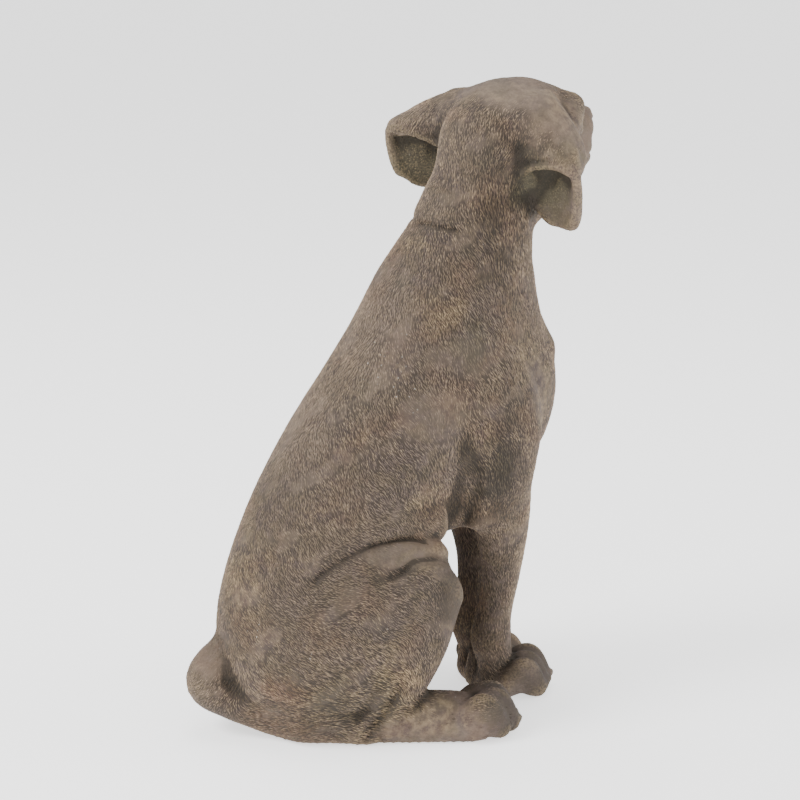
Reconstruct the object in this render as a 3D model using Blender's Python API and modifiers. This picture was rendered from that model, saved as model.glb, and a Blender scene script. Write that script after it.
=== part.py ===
"""Sitting dog, a cast garden statue in one piece.

The dog faces -Y, its right side is at -X and its soles stand on Z = 0. The figure is worked out in
sculpting millimetres, at SCULPT_HEIGHT from sole to crown, and scaled to STATUE_HEIGHT. Each mass of
the body (torso, neck, skull, limbs, toes) is a chain of stations: a centre, half a width and half a
depth. The masses melt into one another over a blend radius, and creases are pressed into the result.
"""
import bmesh
import bpy
import numpy as np
from mathutils import Matrix

STATUE_HEIGHT = 0.670  # metres from the soles to the crown of the skull
SCULPT_HEIGHT = 670.0  # the same height in sculpting millimetres
FORELEG_SPREAD = 27.0  # each foreleg's axis from the middle plane, at the wrist
HIND_FOOT_SPREAD = 111.0  # each hind foot's axis from the middle plane, at the ball
# Each toe, innermost first: sideways from the foot's axis, forward, size.
FORE_TOES = ((-20, 2, 1.0), (-7, 8, 1.2), (7, 1, 1.15), (20, -7, 1.1))
HIND_TOES = ((-20, 2, 1.1), (-7, 9, 1.25), (7, 8, 1.2), (18, -8, 1.2))
HEAD_TURN = 28.0  # degrees the head looks to the dog's left
HEAD_TILT = 2.0  # degrees it leans to its right
HEAD_NOD = -3.0  # degrees it looks down
HEAD_CENTRE = (4.0, -106.0, 613.0)  # middle of the skull
HEAD_SIZE = 1.0  # skull, muzzle and ears against their written sizes
LINE_DEPTH = 2.5  # how deep the fine carved lines are pressed in
REMESH_STEP = 4.2  # grid on which the masses are joined
FACE_BUDGET = 9400  # triangles of the finished solid
STONE_COLOUR = (0.17, 0.145, 0.12, 1.0)

SAMPLES = 6  # steps between two stations of a chain
RIGHT, LEFT = -1.0, 1.0

PAW_REACH = {RIGHT: 0.0, LEFT: -8.0}  # how far each forefoot is set forward
EAR_ROOT = (50.0, 8.0, 0.0)  # in the head's axes, left side
# Degrees swept back, degrees lifted, stretch outward, stretch downward.
EAR_SET = {RIGHT: (0.0, 0.0, 1.0, 1.0), LEFT: (31.0, 16.0, 1.5, 0.85)}


def spline(rows, samples=SAMPLES):
    """A smooth curve through the rows of a table, columns alike: Catmull-Rom with doubled ends."""
    rows = np.asarray(rows, float)
    ends = np.vstack([2 * rows[0] - rows[1], rows, 2 * rows[-1] - rows[-2]])
    out = []
    for i in range(len(rows) - 1):
        p0, p1, p2, p3 = ends[i:i + 4]
        for t in np.arange(samples) / samples:
            out.append(0.5 * (2 * p1 + (p2 - p0) * t + (2 * p0 - 5 * p1 + 4 * p2 - p3) * t**2
                              + (3 * p1 - p0 - 3 * p2 + p3) * t**3))
    return np.vstack(out + [rows[-1]])


class Mass:
    """A chain of elliptic sections. A station is (x, y, z, half width, half depth).

    The width lies along side, square to the chain, and the depth square to both. cup bends the
    section like a leaf: its edges move by cup along the depth axis.
    """

    def __init__(self, stations, side=(1, 0, 0), blend=12.0, cup=0.0):
        rows = spline(stations)
        self.centre, self.half = rows[:, :3], np.maximum(rows[:, 3:5], 0.5)
        along = np.gradient(self.centre, axis=0)
        self.along = along / np.linalg.norm(along, axis=1)[:, None]
        sides = np.array([side]) if np.ndim(side) == 1 else np.asarray(side, float)
        if len(sides) > 1:
            sides = spline(sides)
        across = np.broadcast_to(sides, self.centre.shape)
        across = across - self.along * np.sum(across * self.along, 1)[:, None]
        self.across = across / np.linalg.norm(across, axis=1)[:, None]
        self.depth = np.cross(self.along, self.across)
        self.blend, self.cup = blend, cup
        reach = self.half.max(1)[:, None] + abs(cup)
        self.low, self.high = (self.centre - reach).min(0), (self.centre + reach).max(0)

    def distance(self, p):
        best = np.full(len(p), 1e9)
        for i in range(len(self.centre) - 1):
            c0, step = self.centre[i], self.centre[i + 1] - self.centre[i]
            t = np.clip((p - c0) @ step / (step @ step), 0, 1)[:, None]
            d = p - (c0 + t * step)
            x = np.sum(d * (self.across[i] * (1 - t) + self.across[i + 1] * t), 1)
            y = np.sum(d * (self.depth[i] * (1 - t) + self.depth[i + 1] * t), 1)
            z = np.sum(d * (self.along[i] * (1 - t) + self.along[i + 1] * t), 1)
            a, b = (self.half[i] * (1 - t) + self.half[i + 1] * t).T
            c = np.minimum(a, b)
            if self.cup:
                y = y - self.cup * (x / a) ** 2
            k0 = np.sqrt((x / a) ** 2 + (y / b) ** 2 + (z / c) ** 2)
            k1 = np.sqrt((x / a**2) ** 2 + (y / b**2) ** 2 + (z / c**2) ** 2)
            best = np.minimum(best, k0 * (k0 - 1) / np.maximum(k1, 1e-9))
        return best

    def lumps(self):
        """One ellipsoid a station, from which the solid's first skin is joined."""
        for i, (c, (a, b)) in enumerate(zip(self.centre, self.half)):
            turn = Matrix([self.across[i], self.depth[i], self.along[i]]).transposed().to_4x4()
            yield Matrix.Translation(c) @ turn @ Matrix.Diagonal((a, b, min(a, b), 1))


class Crease:
    """A groove pressed along a line on the surface, or a ridge where its depth is below zero."""

    def __init__(self, points, width, depth):
        self.line = spline(points)
        self.width, self.depth = width, depth
        self.low, self.high = self.line.min(0) - 3 * width, self.line.max(0) + 3 * width

    def press(self, p):
        best, share = np.full(len(p), 1e9), np.zeros(len(p))
        for i in range(len(self.line) - 1):
            c0, step = self.line[i], self.line[i + 1] - self.line[i]
            t = np.clip((p - c0) @ step / (step @ step), 0, 1)
            gap = np.linalg.norm(p - (c0 + t[:, None] * step), axis=1)
            near = gap < best
            best[near] = gap[near]
            share[near] = (i + t[near]) / (len(self.line) - 1)
        fade = np.clip(np.minimum(share, 1 - share) * 5, 0, 1)
        return self.depth * fade * np.exp(-((best / self.width) ** 2))


def near(form, p, margin):
    return np.all((p > form.low - margin) & (p < form.high + margin), axis=1)


class Figure:
    def __init__(self):
        self.masses, self.creases = [], []

    def add(self, stations, **how):
        self.masses.append(Mass(stations, **how))

    def crease(self, points, width, depth):
        self.creases.append(Crease(points, width, depth))

    def field(self, p):
        """How far each point is outside the figure, in sculpting millimetres, or inside if below 0."""
        p = np.asarray(p, float)
        f = np.full(len(p), 400.0)
        for m in self.masses:
            on = near(m, p, 2 * m.blend + 12)
            if not on.any():
                continue
            d, g = m.distance(p[on]), f[on]
            h = np.clip(0.5 + 0.5 * (g - d) / m.blend, 0, 1)
            f[on] = g * (1 - h) + d * h - m.blend * h * (1 - h)
        for c in self.creases:
            on = near(c, p, 0)
            if on.any():
                f[on] += c.press(p[on])
        return f


def both(x_side, rows):
    """Stations written for the left side, placed on the side asked for."""
    return [(x_side * r[0],) + tuple(r[1:]) for r in rows]


def body(dog):
    """Torso and neck, pelvis to skull."""
    dog.add([
        (0, 128, 60, 80, 85), (0, 123, 118, 92, 92), (0, 93, 196, 88, 96), (0, 51, 266, 89, 99),
        (0, 6, 330, 90, 99), (0, -26, 388, 82, 95), (0, -48, 440, 69, 90), (0, -61, 490, 56, 72),
        (0, -73, 535, 49, 62), (0, -92, 585, 43, 52),
    ], blend=1)
    dog.add([(0, -36, 240, 58, 44), (0, -62, 300, 72, 76), (0, -80, 350, 70, 81),
             (0, -80, 398, 54, 64)], blend=24)
    dog.add([(0, 20, 230, 70, 40), (0, 60, 205, 70, 50)], blend=20)
    dog.add([(0, -134, 404, 20, 14), (0, -142, 386, 24, 18)], blend=14)
    dog.add([(0, 32, 405, 34, 30), (0, 13, 448, 30, 28), (0, -11, 492, 26, 24)], blend=14)
    dog.add([(0, -84, 38, 12, 14), (0, -80, 14, 14, 16)], blend=10)  # joins the two forefeet


def shoulder(dog, s):
    """Shoulder blade, upper arm and elbow, and the trough between the arm and the ribs."""
    dog.add(both(s, [(40, -26, 448, 20, 36), (62, -44, 385, 24, 44), (70, -66, 325, 26, 48),
                     (64, -66, 268, 24, 42), (56, -58, 225, 19, 28)]), blend=20)
    dog.crease(both(s, [(98, -24, 338), (90, -26, 290), (78, -26, 250), (60, -22, 214)]), width=12, depth=7)


def foreleg(dog, s):
    x, reach = FORELEG_SPREAD, PAW_REACH[s]
    dog.add(both(s, [(50, -75, 268, 30, 39), (44, -85, 212, 26, 31), (35, -90, 152, 21, 21),
                     (x + 2, -86, 102, 19, 18), (x, -82, 72, 22, 22), (x, -87, 44, 19, 19),
                     (x, -92, 20, 20, 19)]),
            blend=12)
    dog.add(both(s, [(x - 2, -86, 14, 22, 17), (x, -96 - reach / 2, 18, 25, 20),
                     (x + 1, -106 - reach, 20, 26, 20)]),
            blend=10)
    toes(dog, s, x + 1, -112 - reach, FORE_TOES)


def toes(dog, s, x, y, rows):
    """Four arched toes with their nails, set out from the axis x and from y."""
    for aside, lead, size in rows:
        arch = [(11, 22, 9, 12), (3, 25, 10, 15), (-6, 26, 10, 17.5), (-17, 15, 9.5, 13.5),
                (-23, 9.5, 8.5, 9.5)]
        nail = [(-26, 13, 4, 5), (-32, 11, 2.5, 3.5)]
        for part, blend in ((arch, 4), (nail, 3)):
            stations = [(x + aside, y - lead + r[0] * size) + tuple(v * size for v in r[1:]) for r in part]
            dog.add(both(s, stations), blend=blend)


def folds(dog, s):
    """The carved lines: over the thigh, behind the knee, round the hock and beside the elbow."""
    dog.crease(both(s, [(83, 150, 172), (83, 135, 190), (86, 114, 205), (88, 88, 215), (88, 60, 219),
                        (90, 33, 217), (99, 17, 207)]), width=7, depth=5)
    dog.crease(both(s, [(103, 70, 182), (104, 52, 191), (105, 40, 199), (106, 23, 200), (105, 8, 197),
                        (90, -6, 190)]),
               width=4.5, depth=4.5)
    dog.crease(both(s, [(117, 58, 78), (113, 69, 54), (108, 81, 32), (102, 92, 14),
                        (98, 101, 0)]), width=5, depth=6)
    dog.crease(both(s, [(90, -34, 310), (80, -40, 268), (68, -38, 233), (50, -36, 206)]), width=7, depth=6)
    dog.crease(both(s, [(2, -1, 529), (18, -7, 531), (33, -18, 529),
                        (46, -42, 525)]), width=3.5, depth=1.4 * LINE_DEPTH)


def hind_leg(dog, s):
    x = HIND_FOOT_SPREAD
    dog.add(both(s, [(48, 140, 72, 50, 64), (64, 112, 92, 46, 84), (80, 70, 118, 36, 78),
                     (90, 38, 148, 28, 52), (97, 16, 170, 23, 38)]), blend=20)
    dog.add(both(s, [(72, 90, 188, 22, 22), (84, 50, 196, 19, 20), (92, 14, 194, 17, 20)]), blend=8)
    dog.add(both(s, [(52, 140, 26, 30, 26), (66, 118, 22, 24, 22), (84, 92, 16, 20, 18)]), blend=16)
    dog.add(both(s, [(64, 70, 222, 24, 30), (68, 32, 221, 20, 23), (68, 4, 224, 15, 19)]), blend=14)
    dog.add(both(s, [(96, 20, 156, 23, 34), (98, 34, 112, 24, 35), (93, 56, 62, 23, 31),
                     (84, 78, 28, 20, 24)]),
            blend=8)
    dog.add(both(s, [(84, 78, 18, 20, 20), (94, 40, 22, 23, 28), (x - 5, 2, 22, 25, 28),
                     (x, -22, 18, 27, 26)]),
            blend=8)
    toes(dog, s, x + 1, -28, HIND_TOES)


def tail(dog):
    dog.add([(6, 170, 84, 30, 30), (10, 206, 72, 28, 28), (4, 226, 54, 27, 26), (-10, 208, 38, 24, 22),
             (-30, 178, 26, 21, 20), (-50, 145, 16, 20, 18), (-64, 110, 10, 14, 12)], blend=10)


def head(dog):
    turn, tilt, nod = np.radians([HEAD_TURN, HEAD_TILT, HEAD_NOD])
    turned = Matrix.Rotation(turn, 3, "Z") @ Matrix.Rotation(-tilt, 3, "Y") @ Matrix.Rotation(nod, 3, "X")
    axes = np.array(turned)

    def place(rows):
        """Points in the head's own axes, X to its left, Y to its back and Z up, put on the body."""
        rows = np.asarray(rows, float) * HEAD_SIZE
        rows[:, :3] = rows[:, :3] @ axes.T + HEAD_CENTRE
        return rows

    def add(rows, side=((1, 0, 0),), **how):
        sides = np.asarray(side, float) @ axes.T
        dog.add(place(rows), side=sides[0] if len(sides) == 1 else sides, **how)

    def crease(rows, width, depth):
        dog.crease(place(rows), width, depth)

    add([(0, 34, 0, 46, 44), (0, 8, 8, 57, 49), (0, -22, 9, 57, 46), (0, -50, 6, 50, 38)], blend=26)
    add([(0, -48, -8, 38, 36), (0, -76, -12, 33, 32), (0, -102, -12, 31, 29),
         (0, -115, -11, 26, 24)], blend=14)
    add([(0, -30, -46, 34, 16), (0, -68, -50, 27, 13), (0, -98, -50, 20, 10)], blend=10)
    add([(0, -34, 30, 34, 18), (0, -58, 25, 26, 15), (0, -74, 15, 22, 12)], blend=14)
    add([(0, -124, 3, 15, 11), (0, -137, 0, 14, 9)], blend=4)
    crease([(0, -92, 22), (0, -78, 34), (0, -62, 44), (0, -40, 52)], 7, LINE_DEPTH)
    crease([(0, -148, -8), (0, -143, -16), (0, -136, -24)], 3, 3)
    for s in (RIGHT, LEFT):
        add(both(s, [(34, -20, -22, 27, 28), (38, 4, -20, 26, 30)]), blend=18)
        add(both(s, [(14, -57, 27, 12, 11), (36, -66, 24, 13, 11)]), blend=12)
        add(both(s, [(35, -63, 22, 13, 12), (49, -46, 14, 13, 13), (56, -20, -10, 12, 14)]), blend=12)
        add(both(s, [(15, -112, -34, 14, 17), (22, -88, -38, 14, 18), (26, -64, -38, 12, 14)]), blend=8)
        add(both(s, [(18, -22, -40, 24, 26), (20, -18, -72, 20, 22)]), blend=16)
        face(add, crease, s)
        ear(add, crease, s, *EAR_SET[s])


def face(add, crease, s):
    """One eye with its lids, one nostril and half of the mouth."""
    add(both(s, [(25, -87, 5, 8.5, 8.5), (28, -85, 5, 8.5, 8.5)]), blend=1)
    add(both(s, [(16, -96, 7, 3, 3), (23, -95, 14, 3.5, 3.5), (33, -88, 15, 4, 3.5),
                 (40, -77, 8, 3, 3)]), blend=3)
    add(both(s, [(16, -96, 4, 3, 3), (25, -93, -4, 3, 3), (34, -86, -5, 3, 3),
                 (40, -77, 5, 3, 3)]), blend=3)
    crease(both(s, [(5, -149, -4), (8, -148, 0), (12, -142, 3), (14, -136, 2)]), width=3, depth=4)
    crease(both(s, [(0, -134, -25), (16, -129, -31), (26, -118, -37), (32, -104, -41), (34, -88, -44),
                    (34, -70, -45), (32, -54, -42)]), width=3.5, depth=4)


def ear(add, crease, s, sweep, lift, stretch, length):
    """One ear in its own axes, X out from the root, Y back and Z up: a hood, a hollow flap and its rim."""
    swing = np.radians(sweep)
    out = np.array((np.cos(swing), np.sin(swing), np.tan(np.radians(lift))))
    back = np.array((-np.sin(swing), np.cos(swing), 0.0))
    axes = np.array((out * stretch, back, (0, 0, length)))

    def hang(rows, widen=1.0):
        rows = np.array(rows, float)
        rows[:, :3] = (rows[:, :3] @ axes + EAR_ROOT) * (s, 1, 1)
        rows[:, 3:4] *= widen
        return rows

    hind = (back * (s, 1, 1),)
    add(hang([(-6, 0, 20, 34, 28), (8, 0, 15, 32, 23), (25, -2, 2, 28, 16), (37, 0, -10, 23, 11),
              (45, 4, -20, 14, 8)]), side=hind, blend=14)
    add(hang([(6, -8, 38, 7, 6), (-6, -20, 44, 7, 6)]), side=hind, blend=6)
    add(hang([(-4, 12, -8, 16, 16), (12, 14, -6, 14, 14), (28, 13, -7, 12, 11),
              (40, 11, -14, 10, 9)]), side=hind,
        blend=10)
    add(hang([(24, -2, -4, 28, 8), (24, -5, -30, 29, 8), (23, -7, -52, 28, 7.5), (22, -9, -68, 25, 7),
              (23, -11, -82, 15, 5.5)], widen=stretch), side=(out * (1, s, s),), blend=7, cup=-9)
    add(hang([(0, 24, -26, 3, 3), (16, 27, -20, 3, 3), (33, 25, -17, 3, 3), (46, 20, -19, 3, 3),
              (51, 10, -27, 4, 4), (51, 4, -42, 4.5, 4.5), (49, 0, -58, 4.5, 4.5), (46, -4, -72, 4.5, 4.5),
              (36, -10, -85, 4.5, 4.5), (20, -10, -83, 4, 4), (4, -7, -74, 4, 4), (-14, -4, -62, 5, 5)]),
        side=hind, blend=6)
    crease(hang([(4, 17, -36), (16, 13, -36), (28, 9, -40)]), 12, 3.5)


def sculpt():
    dog = Figure()
    body(dog)
    head(dog)
    tail(dog)
    for s in (RIGHT, LEFT):
        shoulder(dog, s)
        foreleg(dog, s)
        hind_leg(dog, s)
        folds(dog, s)
    return dog


def first_skin(dog, step):
    """The masses' ellipsoids, joined into one closed skin on a grid of the given step."""
    ball = bpy.data.meshes.new("ball")
    bm = bmesh.new()
    bmesh.ops.create_uvsphere(bm, u_segments=16, v_segments=10, radius=1.0)
    bm.to_mesh(ball)
    bm.clear()
    for m in dog.masses:
        for place in m.lumps():
            lump = ball.copy()
            lump.transform(place)
            bm.from_mesh(lump)
            bpy.data.meshes.remove(lump)
    mesh = bpy.data.meshes.new("first_skin")
    bm.to_mesh(mesh)
    bm.free()
    lumps = bpy.data.objects.new("first_skin", mesh)
    bpy.context.scene.collection.objects.link(lumps)
    remesh = lumps.modifiers.new("join", "REMESH")
    remesh.mode = "VOXEL"
    remesh.voxel_size = step
    skin = bpy.data.meshes.new_from_object(lumps.evaluated_get(bpy.context.evaluated_depsgraph_get()))
    bpy.data.objects.remove(lumps)
    return skin


def settle(mesh, dog, rounds, ease):
    """Moves each vertex along its normal onto the figure's surface, easing the skin between rounds."""
    bm = bmesh.new()
    bm.from_mesh(mesh)
    for i in range(rounds):
        bm.normal_update()
        co = np.array([v.co for v in bm.verts])
        no = np.array([v.normal for v in bm.verts])
        co -= no * np.clip(dog.field(co), -8, 8)[:, None] * 0.9
        for v, c in zip(bm.verts, co):
            v.co = c
        if i < rounds - 1:
            bmesh.ops.smooth_vert(bm, verts=bm.verts, factor=ease, use_axis_x=True, use_axis_y=True,
                                  use_axis_z=True)
    bm.to_mesh(mesh)
    bm.free()


def thin(mesh, faces):
    """The same skin with about the number of triangles asked for."""
    ob = bpy.data.objects.new("thin", mesh)
    bpy.context.scene.collection.objects.link(ob)
    triangles = sum(len(p.vertices) - 2 for p in mesh.polygons)
    collapse = ob.modifiers.new("thin", "DECIMATE")
    collapse.ratio = min(1.0, faces / triangles)
    collapse.use_collapse_triangulate = True
    out = bpy.data.meshes.new_from_object(ob.evaluated_get(bpy.context.evaluated_depsgraph_get()))
    bpy.data.objects.remove(ob)
    return out


def flatten_soles(mesh):
    """Cuts the figure off flat on Z = 0 and closes the cut."""
    bm = bmesh.new()
    bm.from_mesh(mesh)
    cut = bmesh.ops.bisect_plane(bm, geom=bm.verts[:] + bm.edges[:] + bm.faces[:], plane_co=(0, 0, 0),
                                 plane_no=(0, 0, 1), clear_inner=True)
    rim = [e for e in cut["geom_cut"] if isinstance(e, bmesh.types.BMEdge)]
    bmesh.ops.holes_fill(bm, edges=rim)
    bmesh.ops.triangulate(bm, faces=bm.faces)
    bmesh.ops.recalc_face_normals(bm, faces=bm.faces)
    bm.to_mesh(mesh)
    bm.free()


def to_middle(mesh):
    """The shift that stands the middle of the figure's length and width over the origin."""
    corners = np.array([v.co for v in mesh.vertices])
    x, y, _ = (corners.min(0) + corners.max(0)) / 2
    return Matrix.Translation((-x, -y, 0))


def stone():
    mat = bpy.data.materials.new("weathered_stone")
    mat.use_nodes = True
    shader = mat.node_tree.nodes["Principled BSDF"]
    shader.inputs["Base Color"].default_value = STONE_COLOUR
    shader.inputs["Roughness"].default_value = 0.85
    shader.inputs["Metallic"].default_value = 0.0
    return mat


def build():
    for ob in list(bpy.data.objects):
        bpy.data.objects.remove(ob)
    group = bpy.data.collections.new("dog_statue")
    bpy.context.scene.collection.children.link(group)
    dog = sculpt()
    skin = first_skin(dog, REMESH_STEP)
    settle(skin, dog, rounds=5, ease=0.35)
    skin = thin(skin, FACE_BUDGET)
    settle(skin, dog, rounds=3, ease=0.2)
    flatten_soles(skin)
    skin.transform(Matrix.Scale(STATUE_HEIGHT / SCULPT_HEIGHT, 4) @ to_middle(skin))
    skin.name = "dog_statue"
    statue = bpy.data.objects.new("dog_statue", skin)
    skin.materials.clear()
    skin.materials.append(stone())
    skin.shade_smooth()
    group.objects.link(statue)


build()
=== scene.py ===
"""Sitting dog, a cast garden statue: its carved coat, weathered stone colour, floor, light and camera.

The figure is worked out in sculpting millimetres, as masses that melt into one another and creases
pressed into them. The CAD solid's skin is drawn onto it on a fine grid, and the carved coat is laid
over that as short locks that follow the lie of the hair.
"""
import math

import bmesh
import bpy
import numpy as np
from mathutils import Matrix, Vector
from mathutils.bvhtree import BVHTree


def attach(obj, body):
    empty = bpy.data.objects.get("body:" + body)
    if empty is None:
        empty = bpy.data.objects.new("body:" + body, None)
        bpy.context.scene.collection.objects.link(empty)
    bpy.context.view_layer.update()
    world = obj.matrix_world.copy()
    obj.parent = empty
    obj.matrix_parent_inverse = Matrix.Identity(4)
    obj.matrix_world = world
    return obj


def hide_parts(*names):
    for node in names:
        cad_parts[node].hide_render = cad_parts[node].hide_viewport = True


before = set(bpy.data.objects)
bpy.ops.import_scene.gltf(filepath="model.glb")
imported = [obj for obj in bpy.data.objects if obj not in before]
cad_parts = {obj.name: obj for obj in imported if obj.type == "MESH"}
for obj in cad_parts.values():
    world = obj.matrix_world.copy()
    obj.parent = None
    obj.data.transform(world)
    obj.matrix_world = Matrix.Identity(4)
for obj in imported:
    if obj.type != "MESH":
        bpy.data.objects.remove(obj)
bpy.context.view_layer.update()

STATUE_HEIGHT = 0.670  # metres from the soles to the crown of the skull
SCULPT_HEIGHT = 670.0  # the same height in sculpting millimetres
MIDDLE = np.array([0.015, 7.695, 0.0])  # sculpting point that stands over the origin
FORELEG_SPREAD = 27.0  # each foreleg's axis from the middle plane, at the wrist
HIND_FOOT_SPREAD = 111.0  # each hind foot's axis from the middle plane, at the ball
# Each toe, innermost first: sideways from the foot's axis, forward, size.
FORE_TOES = ((-20, 2, 1.0), (-7, 8, 1.2), (7, 1, 1.15), (20, -7, 1.1))
HIND_TOES = ((-20, 2, 1.1), (-7, 9, 1.25), (7, 8, 1.2), (18, -8, 1.2))
HEAD_TURN = 28.0  # degrees the head looks to the dog's left
HEAD_TILT = 2.0  # degrees it leans to its right
HEAD_NOD = -3.0  # degrees it looks down
HEAD_CENTRE = (4.0, -106.0, 613.0)  # middle of the skull
HEAD_SIZE = 1.0  # skull, muzzle and ears against their written sizes
LINE_DEPTH = 2.5  # how deep the fine carved lines are pressed in
SAMPLES = 6  # steps between two stations of a chain
RIGHT, LEFT = -1.0, 1.0

PAW_REACH = {RIGHT: 0.0, LEFT: -8.0}  # how far each forefoot is set forward
EAR_ROOT = (50.0, 8.0, 0.0)  # in the head's axes, left side
# Degrees swept back, degrees lifted, stretch outward, stretch downward.
EAR_SET = {RIGHT: (0.0, 0.0, 1.0, 1.0), LEFT: (31.0, 16.0, 1.5, 0.85)}

SKIN_STEP = 0.0031  # metres between the skin's vertices
WELD_GAP = 1e-5  # CAD vertices closer than this are one
SOLE_HEIGHT = 0.0008  # skin below this rests on the ground
GROUND_GAP = 0.0002  # other skin stays this far above
LOOSE_HEIGHT = 0.001  # skin above this is eased between rounds
DRAW_REACH = 0.006  # the furthest that one round moves a vertex
DRAW_SHARE = 0.9  # share of the way that it moves
EASE_ROUNDS = (0.4, 0.3, 0.0)  # how strongly the skin is eased after each round

# The photo's camera: its turn in radians, places in metres, its lens in millimetres.
VIEW_TURN = math.radians(248.0)
VIEW_BACK = Vector((math.sin(VIEW_TURN), -math.cos(VIEW_TURN), 0))  # level, towards the camera
VIEW_TARGET = Vector((0.034, -0.0077, 0.33))
VIEW_DISTANCE = 2.15
VIEW_HEIGHT = 0.93
VIEW_LENS = 94.0
SENSOR_WIDTH = 36.0
PHOTO_PIXELS = 800  # the photo is square

FLOOR_SIZE = 25.0  # metres from its middle to its edge
FLOOR_TONE = 0.9
FLOOR_GLOW = 1.2
ROOM_LIGHT = 0.9
# Each light: metres right of the target, above it and towards the camera, size, watts.
LIGHTS = (
    ("key_light", (-2.0, 2.0, 0.9), 1.2, 86),
    ("fill_light", (2.4, 0.5, 0.1), 1.4, 31),
    ("top_light", (-0.2, 2.6, -0.6), 2.0, 30),
)


def spline(rows, samples=SAMPLES):
    """A smooth curve through the rows of a table, columns alike: Catmull-Rom with doubled ends."""
    rows = np.asarray(rows, float)
    ends = np.vstack([2 * rows[0] - rows[1], rows, 2 * rows[-1] - rows[-2]])
    out = []
    for i in range(len(rows) - 1):
        p0, p1, p2, p3 = ends[i:i + 4]
        for t in np.arange(samples) / samples:
            out.append(0.5 * (2 * p1 + (p2 - p0) * t + (2 * p0 - 5 * p1 + 4 * p2 - p3) * t**2
                              + (3 * p1 - p0 - 3 * p2 + p3) * t**3))
    return np.vstack(out + [rows[-1]])


class Mass:
    """A chain of elliptic sections. A station is (x, y, z, half width, half depth).

    The width lies along side, square to the chain, and the depth square to both. cup bends the
    section like a leaf: its edges move by cup along the depth axis.
    """

    def __init__(self, stations, side=(1, 0, 0), blend=12.0, cup=0.0):
        rows = spline(stations)
        self.centre, self.half = rows[:, :3], np.maximum(rows[:, 3:5], 0.5)
        along = np.gradient(self.centre, axis=0)
        self.along = along / np.linalg.norm(along, axis=1)[:, None]
        sides = np.array([side]) if np.ndim(side) == 1 else np.asarray(side, float)
        if len(sides) > 1:
            sides = spline(sides)
        across = np.broadcast_to(sides, self.centre.shape)
        across = across - self.along * np.sum(across * self.along, 1)[:, None]
        self.across = across / np.linalg.norm(across, axis=1)[:, None]
        self.depth = np.cross(self.along, self.across)
        self.blend, self.cup = blend, cup
        reach = self.half.max(1)[:, None] + abs(cup)
        self.low, self.high = (self.centre - reach).min(0), (self.centre + reach).max(0)

    def distance(self, p):
        best = np.full(len(p), 1e9)
        for i in range(len(self.centre) - 1):
            c0, step = self.centre[i], self.centre[i + 1] - self.centre[i]
            t = np.clip((p - c0) @ step / (step @ step), 0, 1)[:, None]
            d = p - (c0 + t * step)
            x = np.sum(d * (self.across[i] * (1 - t) + self.across[i + 1] * t), 1)
            y = np.sum(d * (self.depth[i] * (1 - t) + self.depth[i + 1] * t), 1)
            z = np.sum(d * (self.along[i] * (1 - t) + self.along[i + 1] * t), 1)
            a, b = (self.half[i] * (1 - t) + self.half[i + 1] * t).T
            c = np.minimum(a, b)
            if self.cup:
                y = y - self.cup * (x / a) ** 2
            k0 = np.sqrt((x / a) ** 2 + (y / b) ** 2 + (z / c) ** 2)
            k1 = np.sqrt((x / a**2) ** 2 + (y / b**2) ** 2 + (z / c**2) ** 2)
            best = np.minimum(best, k0 * (k0 - 1) / np.maximum(k1, 1e-9))
        return best


class Crease:
    """A groove pressed along a line on the surface, or a ridge where its depth is below zero."""

    def __init__(self, points, width, depth):
        self.line = spline(points)
        self.width, self.depth = width, depth
        self.low, self.high = self.line.min(0) - 3 * width, self.line.max(0) + 3 * width

    def press(self, p):
        best, share = np.full(len(p), 1e9), np.zeros(len(p))
        for i in range(len(self.line) - 1):
            c0, step = self.line[i], self.line[i + 1] - self.line[i]
            t = np.clip((p - c0) @ step / (step @ step), 0, 1)
            gap = np.linalg.norm(p - (c0 + t[:, None] * step), axis=1)
            near = gap < best
            best[near] = gap[near]
            share[near] = (i + t[near]) / (len(self.line) - 1)
        fade = np.clip(np.minimum(share, 1 - share) * 5, 0, 1)
        return self.depth * fade * np.exp(-((best / self.width) ** 2))


def near(form, p, margin):
    return np.all((p > form.low - margin) & (p < form.high + margin), axis=1)


class Figure:
    def __init__(self):
        self.masses, self.creases = [], []

    def add(self, stations, **how):
        self.masses.append(Mass(stations, **how))

    def crease(self, points, width, depth):
        self.creases.append(Crease(points, width, depth))

    def field(self, p):
        """How far each point is outside the figure, in sculpting millimetres, or inside if below 0."""
        p = np.asarray(p, float)
        f = np.full(len(p), 400.0)
        for m in self.masses:
            on = near(m, p, 2 * m.blend + 12)
            if not on.any():
                continue
            d, g = m.distance(p[on]), f[on]
            h = np.clip(0.5 + 0.5 * (g - d) / m.blend, 0, 1)
            f[on] = g * (1 - h) + d * h - m.blend * h * (1 - h)
        for c in self.creases:
            on = near(c, p, 0)
            if on.any():
                f[on] += c.press(p[on])
        return f


def both(x_side, rows):
    """Stations written for the left side, placed on the side asked for."""
    return [(x_side * r[0],) + tuple(r[1:]) for r in rows]


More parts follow.
